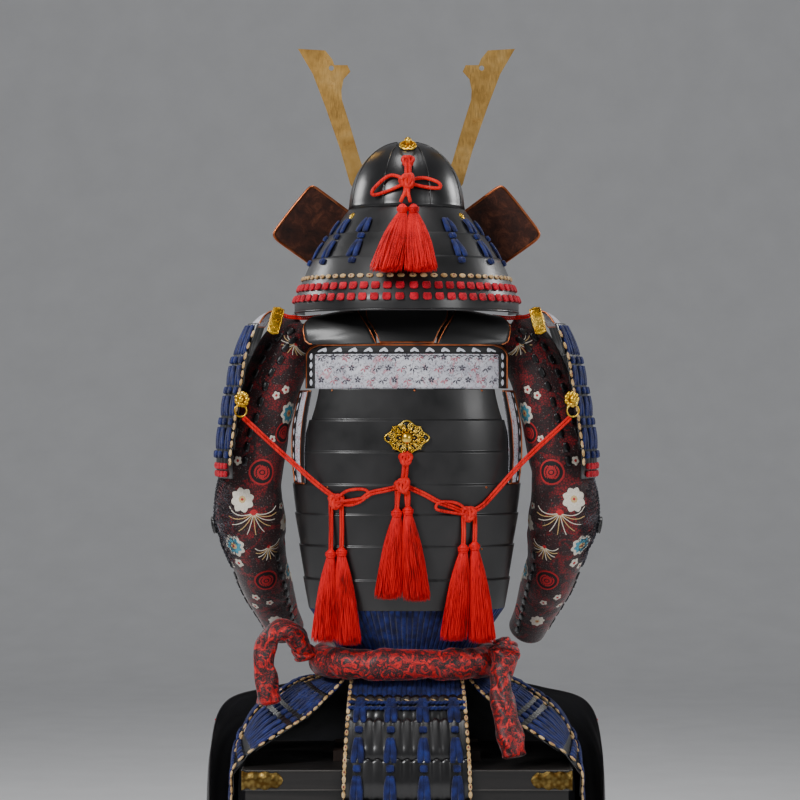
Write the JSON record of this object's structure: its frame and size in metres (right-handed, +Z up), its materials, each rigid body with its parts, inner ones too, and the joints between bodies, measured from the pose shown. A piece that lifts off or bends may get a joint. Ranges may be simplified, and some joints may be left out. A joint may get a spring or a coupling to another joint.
{
  "type": "samurai armour on display stand and storage chest",
  "caption": "Laced plate armour with horned helmet, sleeves, skirt and tasselled cords, on a wooden stand that rests on a storage chest.",
  "frame": {"origin": "centre of the chest's underside, on the floor", "axes": "+Z up; the armour's back faces -Y and the wearer would look along +Y; +X is the wearer's right"},
  "size_m": [0.7512, 0.5341, 1.746],
  "materials": {
    "black_lacquer": "satin lacquer",
    "blue_silk": "braided silk lacing",
    "red_silk": "loose silk strands",
    "orange_silk": "twisted silk cord",
    "gilt": "polished gilt",
    "horn_brass": "brushed, stained",
    "suede": "matt suede with a copper rim",
    "printed_leather": "matt, printed",
    "brocade": "woven brocade",
    "sash_cloth": "woven damask",
    "black_cloth": "matt plain weave",
    "stand_wood": "oiled",
    "chest_lacquer": "satin lacquer"
  },
  "bodies": {
    "root": {"back_fitting": "gilt", "back_panel": "printed_leather", "chest_body": "chest_lacquer", "chest_lid": "chest_lacquer", "cord_centre": "orange_silk", "cord_left": "orange_silk", "cord_right": "orange_silk", "crown_cord": "orange_silk", "crown_ring": "gilt", "crown_tassel_left": "red_silk", "crown_tassel_right": "red_silk", "cuirass_back": "black_lacquer", "cuirass_front": "black_lacquer", "fukigaeshi_left": "suede", "fukigaeshi_right": "suede", "haidate_left": "black_cloth", "haidate_right": "black_cloth", "helmet_bowl": "black_lacquer", "helmet_brim": "black_lacquer", "horn_base": "gilt", "horn_left": "horn_brass", "horn_right": "horn_brass", "nape_plate": "black_lacquer", "neck_guard_1": "black_lacquer", "neck_guard_2": "black_lacquer", "neck_guard_3": "black_lacquer", "sash": "sash_cloth", "sash_end_left": "sash_cloth", "sash_end_right": "sash_cloth", "skirt_back": "blue_silk", "skirt_left_back": "blue_silk", "skirt_left_front": "blue_silk", "skirt_left_side": "blue_silk", "skirt_right_back": "blue_silk", "skirt_right_front": "blue_silk", "skirt_right_side": "blue_silk", "sleeve_left": "brocade", "sleeve_right": "brocade", "sode_cord_left": "orange_silk", "sode_cord_right": "orange_silk", "sode_left": "blue_silk", "sode_right": "blue_silk", "sode_top_left": "black_lacquer", "sode_top_right": "black_lacquer", "stand_bar": "stand_wood", "stand_foot": "stand_wood", "stand_head": "stand_wood", "stand_post": "stand_wood", "strap_left": "black_lacquer", "strap_right": "black_lacquer", "tassel_centre_a": "red_silk", "tassel_centre_b": "red_silk", "tassel_left_a": "red_silk", "tassel_left_b": "red_silk", "tassel_right_a": "red_silk", "tassel_right_b": "red_silk", "underarm_left": "printed_leather", "underarm_right": "printed_leather", "waist_lacing": "blue_silk"}
  },
  "joints": []
}
